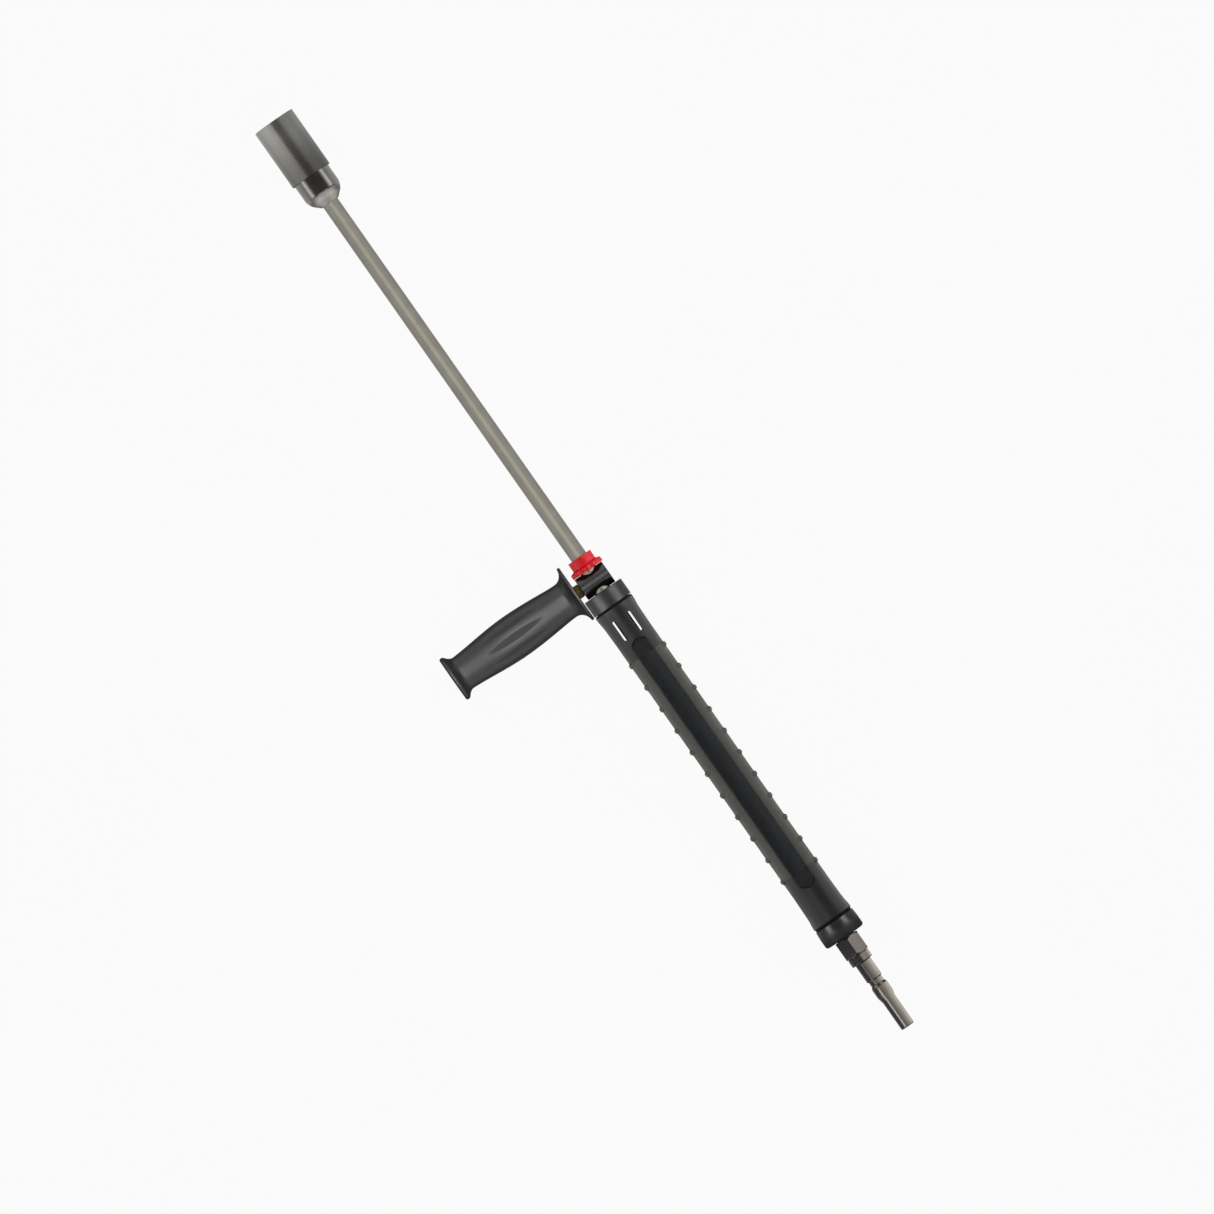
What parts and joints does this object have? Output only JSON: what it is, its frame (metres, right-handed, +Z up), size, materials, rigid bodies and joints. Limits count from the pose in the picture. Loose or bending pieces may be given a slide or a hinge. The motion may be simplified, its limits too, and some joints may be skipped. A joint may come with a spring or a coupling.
{
  "type": "pressure washer lance",
  "caption": "Long cleaning lance with a guarded spray nozzle in front, a side handle that turns its regulating valve, a vented insulating grip and a coupling plug behind.",
  "frame": {"origin": "on the surface below, under the middle of the lance's box as it lies flat on its side handle's flange", "axes": "+X along the lance from the nozzle to the coupling plug, +Y away from the side handle, +Z up, which is the shortest side of the box"},
  "size_m": [0.9504, 0.1688, 0.0538],
  "materials": {
    "guard_steel": "brushed stainless steel, fine lines round the sleeve",
    "holder_chrome": "polished chrome plate",
    "tube_steel": "satin steel with a faint khaki cast",
    "stub_steel": "bright turned steel",
    "plug_nickel": "polished nickel-plated steel",
    "gland_brass": "turned brass, slightly aged",
    "zinc_steel": "zinc-plated steel",
    "valve_black": "semi-gloss black",
    "ring_red": "moulded signal red plastic",
    "grip_black": "moulded black plastic, satin",
    "handle_black": "moulded black handle plastic, satin",
    "bush_plastic": "dark grey moulded plastic",
    "seal_rubber": "black rubber",
    "seal_fibre": "pressed fibre",
    "seal_polymer": "white low-friction polymer"
  },
  "bodies": {
    "lance": {"guard_sleeve": "guard_steel", "nozzle_holder": "holder_chrome", "spray_nozzle": "stub_steel", "nozzle_seal": "seal_fibre", "lance_tube": "tube_steel", "tube_ferrule": "stub_steel", "tube_face_seal": "seal_rubber", "outlet_connector": "stub_steel", "valve_body": "valve_black", "valve_end_plug": "zinc_steel", "end_plug_seal": "seal_fibre", "valve_seat": "stub_steel", "spindle_oring": "seal_rubber", "spindle_backup_ring": "seal_polymer", "gland_nut": "gland_brass", "inlet_connector": "stub_steel", "feed_tube": "tube_steel", "front_bush": "bush_plastic", "middle_bush": "bush_plastic", "rear_bush": "bush_plastic", "grip_collar": "grip_black", "grip_shell_upper": "grip_black", "grip_shell_lower": "grip_black", "grip_end_cap": "grip_black", "grip_seal_ring": "seal_rubber", "plug_adapter": "plug_nickel", "tube_end_seal": "seal_fibre", "nipple_seal": "seal_rubber", "coupling_nipple": "plug_nickel"},
    "side_handle": {"side_handle_grip": "handle_black", "handle_core": "zinc_steel", "handle_pin": "zinc_steel", "handle_washer": "zinc_steel", "handle_screw": "zinc_steel", "handle_end_cap": "handle_black", "valve_spindle": "zinc_steel"},
    "needle": {"valve_needle": "stub_steel"},
    "lock_ring": {"lock_ring": "ring_red"}
  },
  "joints": [
    {"name": "side_handle_turn", "type": "hinge", "parent": "lance", "child": "side_handle", "pos_m": [0.0066, 0.0651, 0.0269], "axis": [0, -1, 0], "range_deg": [0, 300]},
    {"name": "needle_lift", "type": "slide", "parent": "lance", "child": "needle", "axis": [0, -1, 0], "range_m": [0, 0.0025]},
    {"name": "lock_ring_turn", "type": "hinge", "parent": "lance", "child": "lock_ring", "pos_m": [-0.0108, 0.0651, 0.0269], "axis": [1, 0, 0], "range_deg": [0, 90]}
  ],
  "couplings": [
    {"joint": "needle_lift", "follows": "side_handle_turn", "m_per_rad": 0.00047746}
  ]
}
